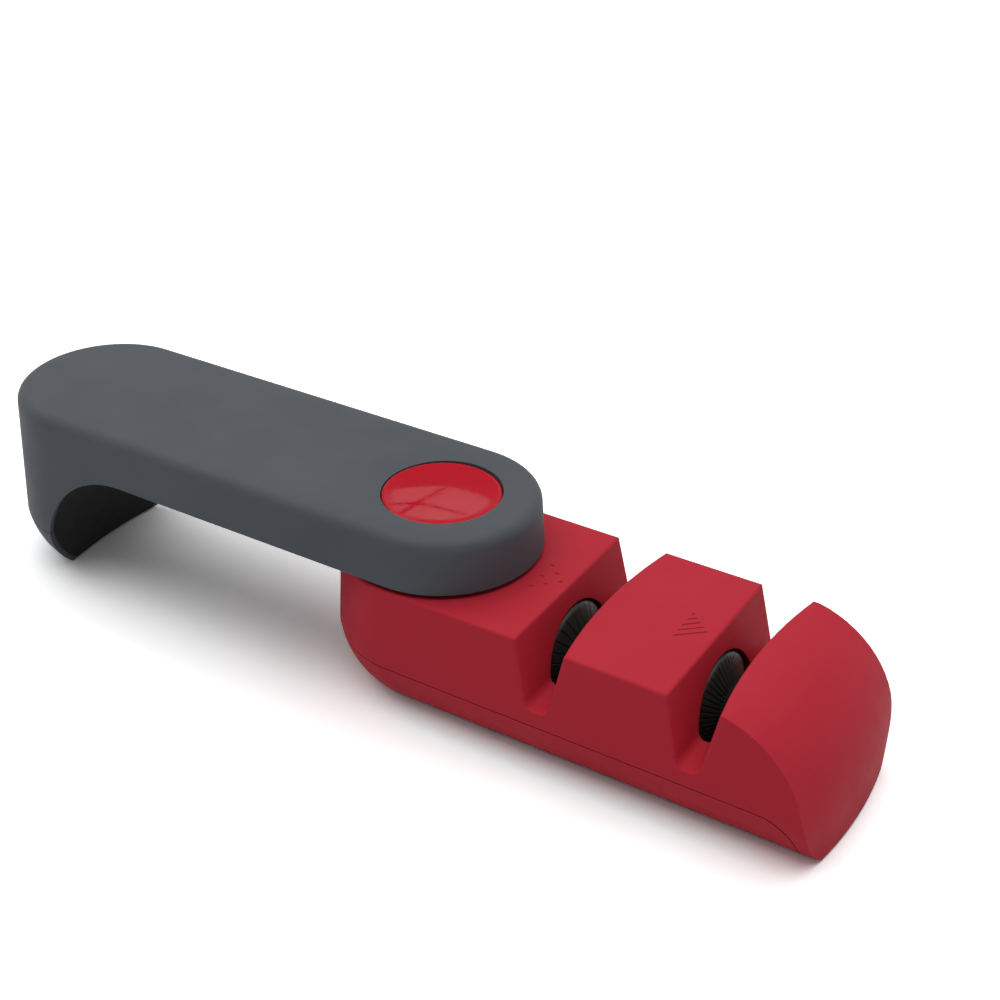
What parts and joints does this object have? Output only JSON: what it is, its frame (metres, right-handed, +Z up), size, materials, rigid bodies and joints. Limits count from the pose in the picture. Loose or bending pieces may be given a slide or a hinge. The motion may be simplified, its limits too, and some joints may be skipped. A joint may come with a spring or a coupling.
{
  "type": "pull through knife sharpener",
  "caption": "Folding hand-held knife sharpener: round-ended body with two V slots over conical ceramic wheels, and a swivelling grip that stands on its own leg.",
  "frame": {"origin": "on the swivel axis of the grip, in the plane that the non-slip pads rest on", "axes": "+X from the swivel axis to the nose of the body, the grip open along -X, +Z up"},
  "size_m": [0.2149, 0.0458, 0.0446],
  "materials": {
    "red_housing": "fine matt moulded red plastic",
    "red_gloss": "high gloss red plastic",
    "grey_grip": "soft-touch dark grey plastic",
    "dark_liner": "matt dark grey plastic",
    "dark_plastic": "matt black plastic",
    "bush_plastic": "natural acetal",
    "pad_rubber": "matt black rubber",
    "wheel_ceramic": "sintered dark ceramic",
    "axle_steel": "ground steel",
    "spring_steel": "drawn spring steel",
    "screw_steel": "zinc plated steel"
  },
  "bodies": {
    "base": {"body_housing": "red_housing", "base_cover": "red_housing", "base_screws": "screw_steel", "non_slip_pads": "pad_rubber", "coarse_axle": "axle_steel", "fine_axle": "axle_steel", "thrust_ring": "dark_plastic", "wave_spring": "spring_steel", "retaining_disc": "screw_steel", "pivot_screw": "screw_steel", "pivot_cap": "red_gloss"},
    "grip": {"handle_shell": "grey_grip", "handle_liner": "dark_liner", "handle_foot": "grey_grip", "foot_pad": "pad_rubber", "liner_screws": "screw_steel", "foot_screw": "screw_steel", "pivot_bush": "bush_plastic", "detent_ball": "axle_steel", "detent_spring": "spring_steel"},
    "coarse_wheels": {"coarse_hub": "dark_plastic", "coarse_wheel_inner": "wheel_ceramic", "coarse_wheel_outer": "wheel_ceramic"},
    "fine_wheels": {"fine_hub": "dark_plastic", "fine_wheel_inner": "wheel_ceramic", "fine_wheel_outer": "wheel_ceramic"}
  },
  "joints": [
    {"name": "grip_swivel", "type": "hinge", "parent": "base", "child": "grip", "pos_m": [0, 0, 0.0345], "axis": [0, 0, 1], "range_deg": [0, 180]},
    {"name": "coarse_wheel_spin", "type": "hinge", "parent": "base", "child": "coarse_wheels", "pos_m": [0.03685, 0, 0.0143], "axis": [1, 0, 0], "continuous": true},
    {"name": "fine_wheel_spin", "type": "hinge", "parent": "base", "child": "fine_wheels", "pos_m": [0.0705, 0, 0.0143], "axis": [1, 0, 0], "continuous": true}
  ]
}
